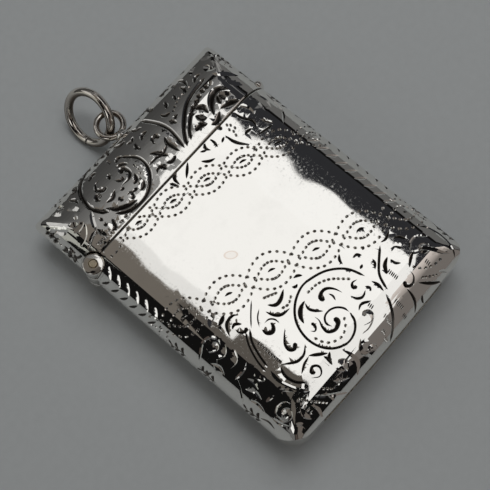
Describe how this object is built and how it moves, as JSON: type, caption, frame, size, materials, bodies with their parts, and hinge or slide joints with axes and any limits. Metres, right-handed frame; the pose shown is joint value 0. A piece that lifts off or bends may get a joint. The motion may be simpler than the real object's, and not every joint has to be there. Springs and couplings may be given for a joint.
{
  "type": "vesta case",
  "caption": "Flat pocket match case with rolled sides, a side-hinged sprung lid, a serrated striker in the base and a hanging ring, engraved all over with scrolling leaves.",
  "frame": {"origin": "middle of the case's flat back, on the surface that it lies on", "axes": "+Z out of the front, +Y towards the lid and its ring, +X towards the thumb piece; the hinge is on the -X side"},
  "size_m": [0.0365, 0.0573, 0.0096],
  "materials": {
    "engraved_silver": "polished sterling silver sheet, bright-cut engraved, dark in the cuts",
    "plain_silver": "polished silver, softly worn",
    "striker_silver": "file-cut silver, dulled",
    "brass_pin": "riveted brass wire",
    "spring_steel": "blued spring steel"
  },
  "bodies": {
    "case": {"body_front": "engraved_silver", "body_back": "engraved_silver", "mouth_rim": "plain_silver", "striker_plate": "striker_silver", "front_knuckle": "plain_silver", "back_knuckle": "plain_silver", "body_hinge_seat": "plain_silver", "hinge_pin": "brass_pin", "leaf_spring": "spring_steel", "spring_keeper": "plain_silver"},
    "lid": {"lid_front": "engraved_silver", "lid_back": "engraved_silver", "lid_knuckle": "plain_silver", "lid_hinge_seat": "plain_silver", "thumb_piece": "plain_silver", "loop_collar": "plain_silver", "suspension_loop": "plain_silver"},
    "ring": {"suspension_ring": "plain_silver"}
  },
  "joints": [
    {"name": "lid_hinge", "type": "hinge", "parent": "case", "child": "lid", "pos_m": [-0.0166, 0.0128, 0.0048], "axis": [0, 0, 1], "range_deg": [0, 95], "deforming": ["leaf_spring"]},
    {"name": "ring_swing", "type": "hinge", "parent": "lid", "child": "ring", "pos_m": [0, 0.02785, 0.0048], "axis": [0.9397, -0.342, 0], "range_deg": [0, 100]}
  ]
}
